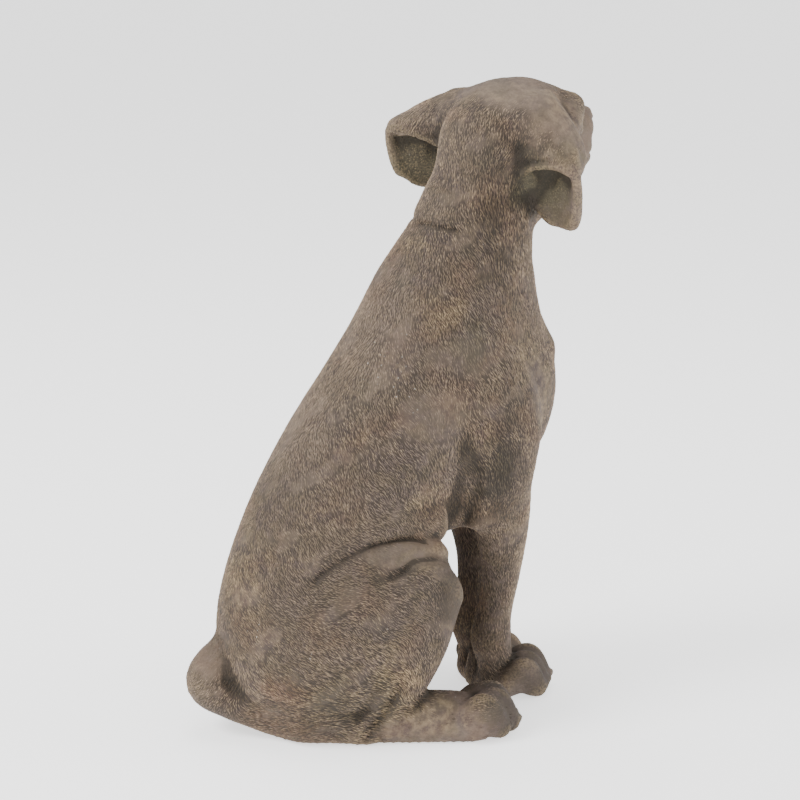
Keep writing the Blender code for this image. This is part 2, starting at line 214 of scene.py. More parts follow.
def body(dog):
    """Torso and neck, pelvis to skull."""
    dog.add([
        (0, 128, 60, 80, 85), (0, 123, 118, 92, 92), (0, 93, 196, 88, 96), (0, 51, 266, 89, 99),
        (0, 6, 330, 90, 99), (0, -26, 388, 82, 95), (0, -48, 440, 69, 90), (0, -61, 490, 56, 72),
        (0, -73, 535, 49, 62), (0, -92, 585, 43, 52),
    ], blend=1)
    dog.add([(0, -36, 240, 58, 44), (0, -62, 300, 72, 76), (0, -80, 350, 70, 81),
             (0, -80, 398, 54, 64)], blend=24)
    dog.add([(0, 20, 230, 70, 40), (0, 60, 205, 70, 50)], blend=20)
    dog.add([(0, -134, 404, 20, 14), (0, -142, 386, 24, 18)], blend=14)
    dog.add([(0, 32, 405, 34, 30), (0, 13, 448, 30, 28), (0, -11, 492, 26, 24)], blend=14)
    dog.add([(0, -84, 38, 12, 14), (0, -80, 14, 14, 16)], blend=10)  # joins the two forefeet


def shoulder(dog, s):
    """Shoulder blade, upper arm and elbow, and the trough between the arm and the ribs."""
    dog.add(both(s, [(40, -26, 448, 20, 36), (62, -44, 385, 24, 44), (70, -66, 325, 26, 48),
                     (64, -66, 268, 24, 42), (56, -58, 225, 19, 28)]), blend=20)
    dog.crease(both(s, [(98, -24, 338), (90, -26, 290), (78, -26, 250), (60, -22, 214)]), width=12, depth=7)


def foreleg(dog, s):
    x, reach = FORELEG_SPREAD, PAW_REACH[s]
    dog.add(both(s, [(50, -75, 268, 30, 39), (44, -85, 212, 26, 31), (35, -90, 152, 21, 21),
                     (x + 2, -86, 102, 19, 18), (x, -82, 72, 22, 22), (x, -87, 44, 19, 19),
                     (x, -92, 20, 20, 19)]), blend=12)
    dog.add(both(s, [(x - 2, -86, 14, 22, 17), (x, -96 - reach / 2, 18, 25, 20),
                     (x + 1, -106 - reach, 20, 26, 20)]), blend=10)
    toes(dog, s, x + 1, -112 - reach, FORE_TOES)


def toes(dog, s, x, y, rows):
    """Four arched toes with their nails, set out from the axis x and from y."""
    for aside, lead, size in rows:
        arch = [(11, 22, 9, 12), (3, 25, 10, 15), (-6, 26, 10, 17.5), (-17, 15, 9.5, 13.5),
                (-23, 9.5, 8.5, 9.5)]
        nail = [(-26, 13, 4, 5), (-32, 11, 2.5, 3.5)]
        for part, blend in ((arch, 4), (nail, 3)):
            stations = [(x + aside, y - lead + r[0] * size) + tuple(v * size for v in r[1:]) for r in part]
            dog.add(both(s, stations), blend=blend)


def folds(dog, s):
    """The carved lines: over the thigh, behind the knee, round the hock and beside the elbow."""
    dog.crease(both(s, [(83, 150, 172), (83, 135, 190), (86, 114, 205), (88, 88, 215), (88, 60, 219),
                        (90, 33, 217), (99, 17, 207)]), width=3.5, depth=4)
    dog.crease(both(s, [(103, 70, 182), (104, 52, 191), (105, 40, 199), (106, 23, 200), (105, 8, 197),
                        (90, -6, 190)]), width=4.5, depth=4.5)
    dog.crease(both(s, [(117, 58, 78), (113, 69, 54), (108, 81, 32), (102, 92, 14), (98, 101, 0)]),
               width=5, depth=6)
    dog.crease(both(s, [(90, -34, 310), (80, -40, 268), (68, -38, 233), (50, -36, 206)]), width=7, depth=6)
    dog.crease(both(s, [(2, -1, 529), (18, -7, 531), (33, -18, 529), (46, -42, 525)]),
               width=3.5, depth=1.4 * LINE_DEPTH)


def hind_leg(dog, s):
    x = HIND_FOOT_SPREAD
    dog.add(both(s, [(48, 140, 72, 50, 64), (64, 112, 92, 46, 84), (80, 70, 118, 36, 78),
                     (90, 38, 148, 28, 52), (97, 16, 170, 23, 38)]), blend=20)
    dog.add(both(s, [(72, 90, 188, 22, 22), (84, 50, 196, 19, 20), (92, 14, 194, 17, 20)]), blend=8)
    dog.add(both(s, [(52, 140, 26, 30, 26), (66, 118, 22, 24, 22), (84, 92, 16, 20, 18)]), blend=16)
    dog.add(both(s, [(64, 70, 222, 24, 30), (68, 32, 221, 20, 23), (68, 4, 224, 15, 19)]), blend=14)
    dog.add(both(s, [(96, 20, 156, 23, 34), (98, 34, 112, 24, 35), (93, 56, 62, 23, 31),
                     (84, 78, 28, 20, 24)]), blend=8)
    dog.add(both(s, [(84, 78, 18, 20, 20), (94, 40, 22, 23, 28), (x - 5, 2, 22, 25, 28),
                     (x, -22, 18, 27, 26)]), blend=8)
    toes(dog, s, x + 1, -28, HIND_TOES)


def tail(dog):
    dog.add([(6, 170, 84, 30, 30), (10, 206, 72, 28, 28), (4, 226, 54, 27, 26), (-10, 208, 38, 24, 22),
             (-30, 178, 26, 21, 20), (-50, 145, 16, 20, 18), (-64, 110, 10, 14, 12)], blend=10)


def head(dog):
    turn, tilt, nod = np.radians([HEAD_TURN, HEAD_TILT, HEAD_NOD])
    turned = Matrix.Rotation(turn, 3, "Z") @ Matrix.Rotation(-tilt, 3, "Y") @ Matrix.Rotation(nod, 3, "X")
    axes = np.array(turned)

    def place(rows):
        """Points in the head's own axes, X to its left, Y to its back and Z up, put on the body."""
        rows = np.asarray(rows, float) * HEAD_SIZE
        rows[:, :3] = rows[:, :3] @ axes.T + HEAD_CENTRE
        return rows

    def add(rows, side=((1, 0, 0),), **how):
        sides = np.asarray(side, float) @ axes.T
        dog.add(place(rows), side=sides[0] if len(sides) == 1 else sides, **how)

    def crease(rows, width, depth):
        dog.crease(place(rows), width, depth)

    add([(0, 34, 0, 46, 44), (0, 8, 8, 57, 49), (0, -22, 9, 57, 46), (0, -50, 6, 50, 38)], blend=26)
    add([(0, -48, -8, 38, 36), (0, -76, -12, 33, 32), (0, -102, -12, 31, 29),
         (0, -115, -11, 26, 24)], blend=14)
    add([(0, -30, -46, 34, 16), (0, -68, -50, 27, 13), (0, -98, -50, 20, 10)], blend=10)
    add([(0, -34, 30, 34, 18), (0, -58, 25, 26, 15), (0, -74, 15, 22, 12)], blend=14)
    add([(0, -124, 3, 15, 11), (0, -137, 0, 14, 9)], blend=4)
    crease([(0, -92, 22), (0, -78, 34), (0, -62, 44), (0, -40, 52)], 7, LINE_DEPTH)
    crease([(0, -148, -8), (0, -143, -16), (0, -136, -24)], 3, 3)
    for s in (RIGHT, LEFT):
        add(both(s, [(34, -20, -22, 27, 28), (38, 4, -20, 26, 30)]), blend=18)
        add(both(s, [(14, -57, 27, 12, 11), (36, -66, 24, 13, 11)]), blend=12)
        add(both(s, [(35, -63, 22, 13, 12), (49, -46, 14, 13, 13), (56, -20, -10, 12, 14)]), blend=12)
        add(both(s, [(15, -112, -34, 14, 17), (22, -88, -38, 14, 18), (26, -64, -38, 12, 14)]), blend=8)
        add(both(s, [(18, -22, -40, 24, 26), (20, -18, -72, 20, 22)]), blend=16)
        face(add, crease, s)
        ear(add, crease, s, *EAR_SET[s])


def face(add, crease, s):
    """One eye with its lids, one nostril and half of the mouth."""
    add(both(s, [(25, -87, 5, 8.5, 8.5), (28, -85, 5, 8.5, 8.5)]), blend=1)
    add(both(s, [(16, -96, 7, 3, 3), (23, -95, 14, 3.5, 3.5), (33, -88, 15, 4, 3.5),
                 (40, -77, 8, 3, 3)]), blend=3)
    add(both(s, [(16, -96, 4, 3, 3), (25, -93, -4, 3, 3), (34, -86, -5, 3, 3),
                 (40, -77, 5, 3, 3)]), blend=3)
    crease(both(s, [(5, -149, -4), (8, -148, 0), (12, -142, 3), (14, -136, 2)]), width=3, depth=4)
    crease(both(s, [(0, -134, -25), (16, -129, -31), (26, -118, -37), (32, -104, -41), (34, -88, -44),
                    (34, -70, -45), (32, -54, -42)]), width=3.5, depth=4)


def ear(add, crease, s, sweep, lift, stretch, length):
    """One ear in its own axes, X out from the root, Y back and Z up: a hood, a hollow flap and its rim."""
    swing = np.radians(sweep)
    out = np.array((np.cos(swing), np.sin(swing), np.tan(np.radians(lift))))
    back = np.array((-np.sin(swing), np.cos(swing), 0.0))
    axes = np.array((out * stretch, back, (0, 0, length)))

    def hang(rows, widen=1.0):
        rows = np.array(rows, float)
        rows[:, :3] = (rows[:, :3] @ axes + EAR_ROOT) * (s, 1, 1)
        rows[:, 3:4] *= widen
        return rows

    hind = (back * (s, 1, 1),)
    add(hang([(-6, 0, 20, 34, 28), (8, 0, 15, 32, 23), (25, -2, 2, 28, 16), (37, 0, -10, 23, 11),
              (45, 4, -20, 14, 8)]), side=hind, blend=14)
    add(hang([(6, -8, 38, 7, 6), (-6, -20, 44, 7, 6)]), side=hind, blend=6)
    add(hang([(-4, 12, -8, 16, 16), (12, 14, -6, 14, 14), (28, 13, -7, 12, 11),
              (40, 11, -14, 10, 9)]), side=hind, blend=10)
    add(hang([(24, -2, -4, 28, 8), (24, -5, -30, 29, 8), (23, -7, -52, 28, 7.5), (22, -9, -68, 25, 7),
              (23, -11, -82, 15, 5.5)], widen=stretch), side=(out * (1, s, s),), blend=7, cup=-9)
    add(hang([(0, 24, -26, 3, 3), (16, 27, -20, 3, 3), (33, 25, -17, 3, 3), (46, 20, -19, 3, 3),
              (51, 10, -27, 4, 4), (51, 4, -42, 4.5, 4.5), (49, 0, -58, 4.5, 4.5), (46, -4, -72, 4.5, 4.5),
              (36, -10, -85, 4.5, 4.5), (20, -10, -83, 4, 4), (4, -7, -74, 4, 4), (-14, -4, -62, 5, 5)]),
        side=hind, blend=6)
    crease(hang([(4, 17, -36), (16, 13, -36), (28, 9, -40)]), 12, 3.5)


def sculpt():
    dog = Figure()
    body(dog)
    head(dog)
    tail(dog)
    for s in (RIGHT, LEFT):
        shoulder(dog, s)
        foreleg(dog, s)
        hind_leg(dog, s)
        folds(dog, s)
    return dog


def to_sculpt(points):
    """Row frame metres to sculpting millimetres."""
    return np.asarray(points, float) * (SCULPT_HEIGHT / STATUE_HEIGHT) + MIDDLE


def show(name, data):
    ob = bpy.data.objects.new(name, data)
    bpy.context.scene.collection.objects.link(ob)
    return ob


def flat_mesh(ob):
    """The object's evaluated mesh as a plain one."""
    return bpy.data.meshes.new_from_object(ob.evaluated_get(bpy.context.evaluated_depsgraph_get()))


def vertex_rows(mesh, what):
    """One row of three numbers for each vertex: its co or its normal."""
    values = np.empty(len(mesh.vertices) * 3)
    mesh.vertices.foreach_get(what, values)
    return values.reshape(-1, 3)


def grid_skin(node):
    """The CAD solid's surface, joined into one sheet on a fine grid."""
    mesh = node.data.copy()
    bm = bmesh.new()
    bm.from_mesh(mesh)
    bmesh.ops.remove_doubles(bm, verts=bm.verts, dist=WELD_GAP)
    bm.to_mesh(mesh)
    bm.free()
    skin = show("dog_skin", mesh)
    remesh = skin.modifiers.new("grid", "REMESH")
    remesh.mode = "VOXEL"
    remesh.voxel_size = SKIN_STEP
    fine = flat_mesh(skin)
    skin.modifiers.clear()
    skin.data = fine
    return skin


def drawn_skin(node, dog):
    """The CAD solid's surface on a fine grid, drawn onto the sculpted figure."""
    skin = grid_skin(node)
    fine = skin.data
    for ease in EASE_ROUNDS:
        co = vertex_rows(fine, "co")
        step = dog.field(to_sculpt(co)) * (STATUE_HEIGHT / SCULPT_HEIGHT)
        resting = co[:, 2] < SOLE_HEIGHT
        step[resting] = 0
        co -= vertex_rows(fine, "normal") * np.clip(step, -DRAW_REACH, DRAW_REACH)[:, None] * DRAW_SHARE
        co[:, 2] = np.where(resting, 0.0, np.maximum(co[:, 2], GROUND_GAP))
        fine.vertices.foreach_set("co", co.ravel())
        fine.update()
        if ease:
            bm = bmesh.new()
            bm.from_mesh(fine)
            loose = [v for v in bm.verts if v.co.z > LOOSE_HEIGHT]
            bmesh.ops.smooth_vert(bm, verts=loose, factor=ease, use_axis_x=True, use_axis_y=True,
                                  use_axis_z=True)
            bm.to_mesh(fine)
            bm.free()
    fine.shade_smooth()
    return skin


LIE_NEAR = 400.0  # square millimetres round a listed point, where its way rules
LIE_FALL = 2.5  # how fast it fades further out
LIE_SWAY = 0.3  # how far the strokes sway to the side
# Where the coat is read, on the left side, sculpting millimetres, and how its strokes run there.
COAT_LIE = [
    ((0, -150, 640), (0, 1, 0.2)),
    ((30, -120, 655), (0.1, 1, 0.1)),
    ((50, -70, 625), (0.2, 0.5, -0.8)),
    ((0, -60, 620), (0, 0.4, -0.9)),
    ((40, -50, 570), (0, 0.1, -1)),
    ((0, -20, 560), (0, 0.35, -0.93)),
    ((50, -60, 530), (0.1, -0.2, -1)),
    ((30, -120, 520), (0.1, -0.1, -1)),
    ((0, 20, 490), (0, 0.5, -0.86)),
    ((70, -30, 450), (0.1, -0.25, -1)),
    ((40, -130, 400), (0, 0.05, -1)),
    ((0, 75, 400), (0, 0.5, -0.86)),
    ((80, 20, 400), (0.1, -0.3, -0.95)),
    ((90, -40, 340), (0, -0.25, -1)),
    ((90, 40, 300), (0.1, -0.4, -0.9)),
    ((0, 130, 330), (0, 0.55, -0.83)),
    ((60, 110, 310), (0.3, -0.1, -0.95)),
    ((85, 60, 230), (0, -0.6, -0.8)),
    ((60, 170, 220), (0.5, -0.2, -0.85)),
    ((0, 185, 240), (0, 0.35, -0.93)),
    ((100, 120, 180), (0.2, -0.9, -0.4)),
    ((110, 60, 150), (0, -0.7, -0.7)),
    ((70, 190, 120), (0.6, -0.5, -0.6)),
    ((110, 130, 90), (0.2, -0.8, -0.55)),
    ((115, 80, 90), (0, -0.75, -0.66)),
    ((105, 110, 30), (0, -0.95, -0.3)),
    ((118, 40, 100), (0, -0.1, -1)),
    ((115, 0, 150), (0, -0.3, -0.95)),
    ((110, -20, 40), (0, -1, -0.2)),
    ((30, -100, 300), (0, -0.1, -1)),
    ((45, -90, 200), (0, 0, -1)),
    ((35, -90, 100), (0, 0, -1)),
    ((30, -130, 30), (0, -1, -0.3)),
    ((0, 230, 90), (0, 0.8, -0.6)),
    ((20, 245, 50), (-0.6, 0.2, -0.5)),
    ((-40, 170, 30), (-0.6, -0.8, 0)),
]


def lie_of_coat(points, normals):
    """The way the hair lies at each point, along the surface."""
    p = to_sculpt(points)
    flow = np.zeros_like(p)
    for place, way in COAT_LIE:
        for s in ((1, -1) if place[0] > 0 else (1,)):
            gap = ((p - np.array(place) * (s, 1, 1)) ** 2).sum(1)
            flow += np.array(way) * (s, 1, 1) / np.linalg.norm(way) / (gap[:, None] + LIE_NEAR) ** LIE_FALL
    flow /= np.linalg.norm(flow, axis=1)[:, None]
    x, y, z = p.T
    wave = LIE_SWAY * np.sin(x / 9 + np.sin(z / 17) * 2) * np.sin(z / 13 + y / 15)
    side = np.cross(normals, flow)
    flow = flow + side * wave[:, None]
    flow -= normals * (flow * normals).sum(1)[:, None]
    return flow / np.maximum(np.linalg.norm(flow, axis=1), 1e-6)[:, None]


def spot(p, centre, reach):
    """1 at the centre of an ellipsoid, fading to 0 at its rim."""
    d = (p - np.asarray(centre, float)) / np.asarray(reach, float)
    return np.clip(1 - (d ** 2).sum(1), 0, 1)


# Places left smooth on both sides: centre on the left and reach in sculpting millimetres, how bare.
SMOOTH_PAIRS = [
    ((100, 40, 206), (40, 66, 18), 0.75),
    ((104, 4, 194), (36, 34, 24), 0.7),
    ((112, -20, 24), (40, 74, 36), 1.0),
    ((104, 40, 20), (40, 56, 24), 0.85),
    ((116, -4, 140), (28, 30, 52), 0.6),
    ((28, -120, 22), (46, 58, 42), 1.0),
    ((34, -112, 96), (34, 26, 66), 0.5),
    ((92, 16, 345), (40, 54, 40), 0.5),
    ((84, -30, 405), (30, 36, 32), 0.45),
    ((66, -118, 350), (36, 38, 50), 0.55),
    ((70, 60, 420), (34, 50, 60), 0.4),
]
# And those on one side only: the turned head, its ears and the top of the tail.
SMOOTH_HEAD = [
    ((6, -112, 655), (76, 68, 42), 0.85),
    ((-46, -142, 628), (60, 60, 54), 0.9),
    ((-66, -140, 575), (48, 48, 62), 1.0),
    ((-46, -120, 588), (26, 30, 34), 0.9),
    ((61, -110, 631), (44, 48, 38), 0.7),
    ((98, -24, 606), (40, 50, 56), 0.85),
    ((68, -40, 584), (40, 44, 44), 0.9),
    ((54, -199, 609), (76, 66, 66), 0.95),
    ((-6, 232, 84), (44, 30, 26), 0.6),
]
SMOOTH_CORE = 1.5  # the higher, the more of the reach is fully smooth
EDGE_WAVE, EDGE_FLECK = 0.08, 0.06  # how far waves and flecks eat into the edge
WORN_WAVE, WORN_FLECK, WORN_LEAST, WORN_MOST = 0.28, 0.12, 0.05, 0.45  # worn patches in the open coat


def coat_cover(points):
    """How thickly the locks stand: 1 where carved, 0 where smooth, with ragged edges and worn patches."""
    p = to_sculpt(points)
    x, y, z = p.T
    wave = np.sin(x / 11 + 2 * np.sin(z / 15)) + np.sin(y / 9 + 2 * np.sin(x / 19 + z / 13))
    wave += np.sin(z / 7 + y / 12)
    fleck = np.sin(x / 3.1 + 2 * np.sin(y / 5.3)) + np.sin(z / 2.7 + 2 * np.sin(x / 4.1))
    fleck += np.sin(y / 2.9 + z / 4.7)
    ragged = EDGE_WAVE * wave + EDGE_FLECK * fleck
    bare = np.zeros(len(p))
    for places, sides in ((SMOOTH_PAIRS, (1, -1)), (SMOOTH_HEAD, (1,))):
        for centre, reach, much in places:
            for s in sides:
                inside = spot(p, np.array(centre) * (s, 1, 1), reach)
                smooth = np.clip(SMOOTH_CORE * inside + ragged * (inside > 0), 0, 1)
                bare = np.maximum(bare, much * smooth)
    worn = np.clip(WORN_WAVE * wave + WORN_FLECK * fleck - WORN_LEAST, 0, WORN_MOST)
    return np.clip(1 - np.maximum(bare, worn), 0, 1)


# Where the carving is cut deepest: centre and reach in sculpting millimetres, both sides.
DEEP_PAIRS = [
    ((110, 110, 60), (60, 90, 80), 1.0),
    ((60, 175, 60), (60, 60, 60), 0.6),
    ((70, -20, 300), (50, 70, 70), 0.5),
    ((45, -80, 520), (50, 50, 80), 0.7),
    ((60, -60, 400), (50, 40, 60), 0.5),
]
DEEP_CORE = 1.6  # the higher, the more of the reach is fully deep

# Where the form's own shade is eased, right side only: centre and reach, how much.
EASED = [
    ((-85, -49, 262), (34, 17, 90), 0.75),
    ((-112, -20, 24), (44, 80, 44), 0.45),
    ((-28, -120, 22), (50, 60, 46), 0.3),
]
EASED_CORE = 1.5  # the higher, the more of the reach is fully eased


def coat_depth(points):
    """How deep the carving is cut, from 0 to 1."""
    p = to_sculpt(points)
    deep = np.zeros(len(p))
    for centre, reach, much in DEEP_PAIRS:
        for s in (1, -1):
            inside = spot(p, np.array(centre) * (s, 1, 1), reach)
            deep = np.maximum(deep, much * np.clip(DEEP_CORE * inside, 0, 1))
    return deep


def standing(mesh, co, normals, rounds):
    """How far each vertex stands out of its surroundings, in millimetres, or lies in a hollow if below 0."""
    ends = np.empty(len(mesh.edges) * 2, np.int32)
    mesh.edges.foreach_get("vertices", ends)
    a, b = ends.reshape(-1, 2).T
    count = np.bincount(ends, minlength=len(co))
    eased = co.copy()
    for _ in range(rounds):
        for k in range(3):
            pull = np.bincount(a, eased[b, k], len(co)) + np.bincount(b, eased[a, k], len(co))
            eased[:, k] = 0.4 * eased[:, k] + 0.6 * pull / count
    return 1000 * ((co - eased) * normals).sum(1)


def put_attribute(mesh, name, kind, values):
    made = mesh.attributes.new(name, kind, "POINT")
    field = "vector" if kind == "FLOAT_VECTOR" else "value"
    made.data.foreach_set(field, np.asarray(values, np.float32).ravel())


class Nodes:
    """Short hands for wiring a shader or geometry tree."""

    def __init__(self, tree):
        self.n, self.link = tree.nodes, tree.links.new

    def put(self, kind, inputs=(), **settings):
        node = self.n.new(kind)
        for key, value in settings.items():
            setattr(node, key, value)
        for key, value in dict(inputs).items():
            self.feed(node.inputs[key], value)
        return node

    def feed(self, socket, value):
        if isinstance(value, bpy.types.NodeSocket):
            self.link(value, socket)
        elif value is not None:
            socket.default_value = value

    def maths(self, op, a, b):
        return self.put("ShaderNodeMath", {0: a, 1: b}, operation=op).outputs[0]

    def times(self, first, *others):
        for other in others:
            first = self.maths("MULTIPLY", first, other)
        return first

    def plus(self, a, b):
        return self.maths("ADD", a, b)

    def rest_of(self, value):
        return self.maths("SUBTRACT", 1.0, value)

    def most(self, first, *others):
        for other in others:
            first = self.maths("MAXIMUM", first, other)
        return first

    def vectors(self, op, a, b=None):
        return self.put("ShaderNodeVectorMath", {0: a, 1: b}, operation=op)

    def ramp(self, value, low, high):
        """0 below low, 1 above high."""
        limits = {"From Min": low, "From Max": high, "Value": value}
        return self.put("ShaderNodeMapRange", limits, interpolation_type="SMOOTHSTEP").outputs["Result"]

    def spread(self, value, low, high, start=0.0, end=1.0):
        """From low to high as the value goes from start to end."""
        limits = {"From Min": start, "From Max": end, "To Min": low, "To Max": high, "Value": value}
        return self.put("ShaderNodeMapRange", limits).outputs["Result"]

    def mix(self, share, a, b):
        inputs = {"Factor": share, "A": a, "B": b}
        return self.put("ShaderNodeMix", inputs, data_type="RGBA", blend_type="MIX").outputs["Result"]

    def brightened(self, tone, value):
        return self.put("ShaderNodeHueSaturation", {"Color": tone, "Value": value}).outputs[0]

    def noise(self, where, scale, detail, rough):
        inputs = {"Scale": scale, "Detail": detail, "Roughness": rough, "Vector": where}
        return self.put("ShaderNodeTexNoise", inputs).outputs["Fac"]

    def attribute(self, name):
        """A value kept on the mesh, read in a shader tree."""
        return self.put("ShaderNodeAttribute", attribute_name=name).outputs["Fac"]

    def read(self, name, kind="FLOAT"):
        """The same, read in a geometry tree."""
        node = self.put("GeometryNodeInputNamedAttribute", {"Name": name}, data_type=kind)
        return node.outputs["Attribute"]

    def store(self, geometry, name, value, kind="FLOAT", domain="INSTANCE"):
        inputs = {"Geometry": geometry, "Name": name, "Value": value}
        return self.put("GeometryNodeStoreNamedAttribute", inputs, data_type=kind, domain=domain).outputs[0]

    def chance(self, low, high, seed):
        """A random value for each point."""
        inputs = {2: low, 3: high, "Seed": seed}
        return self.put("FunctionNodeRandomValue", inputs, data_type="FLOAT").outputs[1]


def group(name, kind, inputs, outputs):
    """A node group with its sockets, given by name and kind of value."""
    tree = bpy.data.node_groups.new(name, kind)
    for way, sockets in (("INPUT", inputs), ("OUTPUT", outputs)):
        for label, value in sockets.items():
            tree.interface.new_socket(label, in_out=way, socket_type="NodeSocket" + value)
    s = Nodes(tree)
    return tree, s, s.put("NodeGroupInput"), s.put("NodeGroupOutput")


LOCK_LENGTH, LOCK_WIDTH, LOCK_RISE = 0.0078, 0.0012, 0.0006  # a middle-sized lock, metres
CREST_FIRST = 0.0004  # height of the crest before the lock is pressed onto the skin
# Root, left, right, crest, tip: shares of length, half width and rise, how much of a crest.
LOCK_CORNERS = (
    (0, 0, -0.5, 0.0),
    (0.46, 1, -0.45, 0.0),
    (0.42, -1, -0.45, 0.0),
    (0.44, 0.2, 1.0, 1.0),
    (1, 0.9, -0.15, 0.25),
)
TOP_FACES, UNDER_FACES = 4, 2
# Where those corners lie in a lock's cell of the bake's map: its top, its underside.
TOP_MAP = ((0.04, 0.5), (0.28, 0.94), (0.28, 0.06), (0.3, 0.5), (0.66, 0.5))
UNDER_MAP = ((0.72, 0.5), (0.84, 0.94), (0.84, 0.06), (0.84, 0.5), (0.96, 0.5))

COAT_SPACING = 0.00125  # least distance between two roots
LOCKS_MOST = 400000  # for each square metre
THINNER_DEEP = 0.2  # share of the locks left out where they are largest
LARGER_DEEP = 0.5  # and how much larger they are there
# What differs from lock to lock: least, most, and what is added to the seed.
SPIN = (-0.22, 0.22, 11)  # radians off the lie of the coat
LONG, WIDE, HIGH = (0.75, 1.2, 23), (0.8, 1.15, 31), (0.7, 1.25, 37)  # shares of its sizes
TINT, BULK = (0, 1, 41), (0.6, 1.25, 43)
RISE_LEAST, RISE_COVER, RISE_DEEP = 0.2, 0.6, 0.6  # what a lock's rise is made of
LOCK_FLOOR = 0.0003  # no lock reaches below this height
ASTRAY = 0.2  # a corner goes back to its root where their normals' product is less


def lock_shape():
    """One lock: pointed at both ends, ridged, bent like a comma; lift is its height over the skin."""
    bm = bmesh.new()
    relief = bm.verts.layers.float.new("relief")
    lift = bm.verts.layers.float.new("lift")
    corners = []
    for x, y, rise, crest in LOCK_CORNERS:
        v = bm.verts.new((x * LOCK_LENGTH, y * LOCK_WIDTH / 2, CREST_FIRST if crest == 1 else 0))
        v[relief], v[lift] = crest, rise * LOCK_RISE
        corners.append(v)
    root, left, right, crest, tip = corners
    for face in ((root, right, crest), (root, crest, left), (right, tip, crest), (crest, tip, left),
                 (root, left, right), (right, left, tip)):
        bm.faces.new(face)
    bmesh.ops.recalc_face_normals(bm, faces=bm.faces)
    mesh = bpy.data.meshes.new("lock")
    bm.to_mesh(mesh)
    bm.free()
    mesh.shade_smooth()
    return show("lock", mesh)


def strewn(s, start):
    """Roots of the locks of one zone, spread over the skin, and the skin's normals there."""
    zone = s.put("FunctionNodeCompare", {2: s.read("zone", "INT"), 3: start.outputs["Zone"]},
                 data_type="INT", operation="EQUAL")
    share = s.times(s.read("cover"), s.rest_of(s.times(s.read("depth"), THINNER_DEEP)))
    node = s.put("GeometryNodeDistributePointsOnFaces", {
        "Mesh": start.outputs["Geometry"], "Selection": zone.outputs[0], "Density Max": LOCKS_MOST,
        "Distance Min": start.outputs["Spacing"], "Density Factor": share, "Seed": start.outputs["Seed"],
    }, distribute_method="POISSON")
    return node.outputs["Points"], node.outputs["Normal"]


def placed(s, start, lock):
    """A lock on each root, laid along the flow and a little off it, each of its own size and tint."""
    def chance(low, high, seed):
        return s.chance(low, high, s.plus(start.outputs["Seed"], seed))

    points, normal = strewn(s, start)
    rise = s.put("FunctionNodeAlignRotationToVector", {"Vector": normal}, axis="Z")
    along = s.put("FunctionNodeAlignRotationToVector",
                  {"Rotation": rise.outputs[0], "Vector": s.read("flow", "FLOAT_VECTOR")},
                  axis="X", pivot_axis="Z")
    spin = s.put("FunctionNodeAxisAngleToRotation", {"Axis": (0, 0, 1), "Angle": chance(*SPIN)})
    turn = s.put("FunctionNodeRotateRotation",
                 {"Rotation": along.outputs[0], "Rotate By": spin.outputs[0]}, rotation_space="LOCAL")
    bold = s.plus(1.0, s.times(s.read("depth"), LARGER_DEEP))
    size = s.put("ShaderNodeCombineXYZ")
    for socket, limits in zip(size.inputs, (LONG, WIDE, HIGH)):
        s.feed(socket, s.times(chance(*limits), bold))
    position = s.put("GeometryNodeInputPosition").outputs[0]
    roots = s.store(points, "foot", position, kind="FLOAT_VECTOR", domain="POINT")
    model = s.put("GeometryNodeObjectInfo", {"Object": lock})
    made = s.put("GeometryNodeInstanceOnPoints", {
        "Points": roots, "Instance": model.outputs["Geometry"], "Rotation": turn.outputs[0],
        "Scale": size.outputs[0],
    }).outputs[0]
    return s.store(s.store(made, "tint", chance(*TINT)), "bulk", chance(*BULK))


def pressed(s, start):
    """Where a lock's corner goes: its lift above the nearest skin, or back to the root if that is astray."""
    ground = start.outputs["Geometry"]
    near = s.put("GeometryNodeProximity", {0: ground}, target_element="FACES")
    up = s.put("GeometryNodeSampleNearestSurface",
               {"Mesh": ground, "Value": s.read("up", "FLOAT_VECTOR")}, data_type="FLOAT_VECTOR").outputs[0]
    rise = s.plus(RISE_LEAST, s.times(s.read("cover"), RISE_COVER))
    rise = s.plus(rise, s.times(s.read("depth"), RISE_DEEP))
    lift = s.times(s.read("lift"), s.times(rise, s.read("bulk")))
    shift = s.put("ShaderNodeVectorMath", {0: up, "Scale": lift}, operation="SCALE")
    total = s.vectors("ADD", near.outputs["Position"], shift.outputs[0])
    above = s.vectors("MAXIMUM", total.outputs[0], (-9, -9, LOCK_FLOOR))
    facing = s.vectors("DOT_PRODUCT", up, s.read("up", "FLOAT_VECTOR"))
    return s.put("GeometryNodeSwitch", {
        "Switch": s.maths("LESS_THAN", facing.outputs["Value"], ASTRAY),
        "False": above.outputs[0], "True": s.read("foot", "FLOAT_VECTOR"),
    }, input_type="VECTOR").outputs[0]


def coat_tree(lock, finish):
    """Locks strewn over the skin, made real, pressed onto it and given their finish."""
    inputs = {"Geometry": "Geometry", "Zone": "Int", "Spacing": "Float", "Seed": "Int"}
    tree, s, start, end = group("coat", "GeometryNodeTree", inputs, {"Geometry": "Geometry"})
    real = s.put("GeometryNodeRealizeInstances", {0: placed(s, start, lock)})
    lay = s.put("GeometryNodeSetPosition", {"Geometry": real.outputs[0], "Position": pressed(s, start)})
    dress = s.put("GeometryNodeSetMaterial", {"Geometry": lay.outputs[0], "Material": finish})
    s.feed(end.inputs[0], dress.outputs[0])
    return tree


